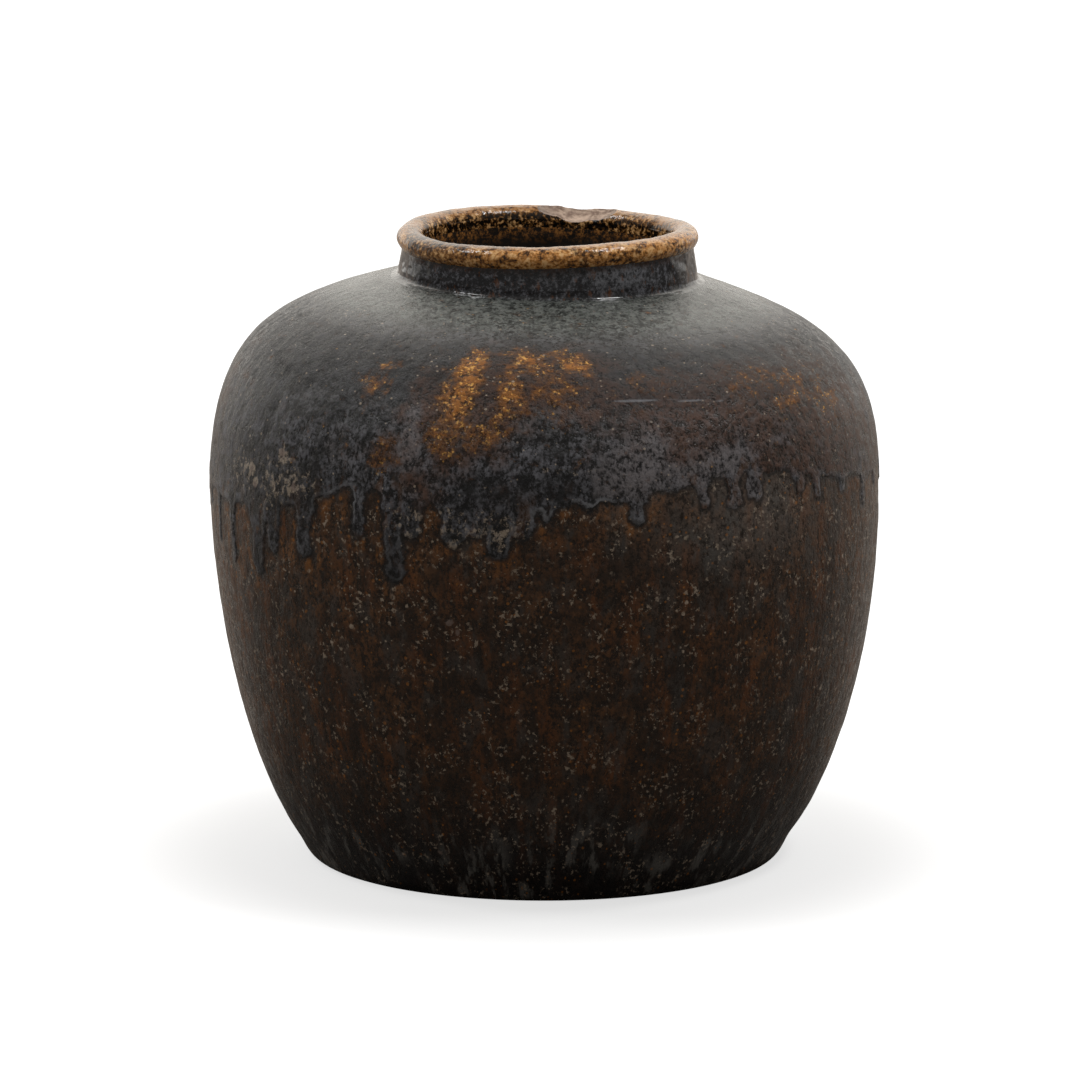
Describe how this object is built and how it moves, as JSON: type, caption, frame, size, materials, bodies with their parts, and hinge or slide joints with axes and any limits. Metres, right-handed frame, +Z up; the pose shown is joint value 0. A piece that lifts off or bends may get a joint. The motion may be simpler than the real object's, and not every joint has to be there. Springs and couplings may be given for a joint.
{
  "type": "ceramic jar",
  "caption": "Round-shouldered stoneware storage jar with a short neck, a thick rolled lip with a chip at the back, and dark glaze run down over its girth.",
  "frame": {"origin": "middle of the foot's face, where the jar stands", "axes": "+Z up through the mouth, -Y to the front, +X to the right seen from the front"},
  "size_m": [0.331, 0.3305, 0.3134],
  "materials": {
    "foot_clay": "matte",
    "brown_glaze": "satin",
    "shoulder_glaze": "satin",
    "neck_glaze": "gloss",
    "lip_glaze": "satin",
    "run_glaze": "gloss"
  },
  "bodies": {
    "root": {"base": "foot_clay", "lower_wall": "brown_glaze", "shoulder": "shoulder_glaze", "neck": "neck_glaze", "rolled_lip": "lip_glaze", "drip_glaze": "run_glaze"}
  },
  "joints": []
}
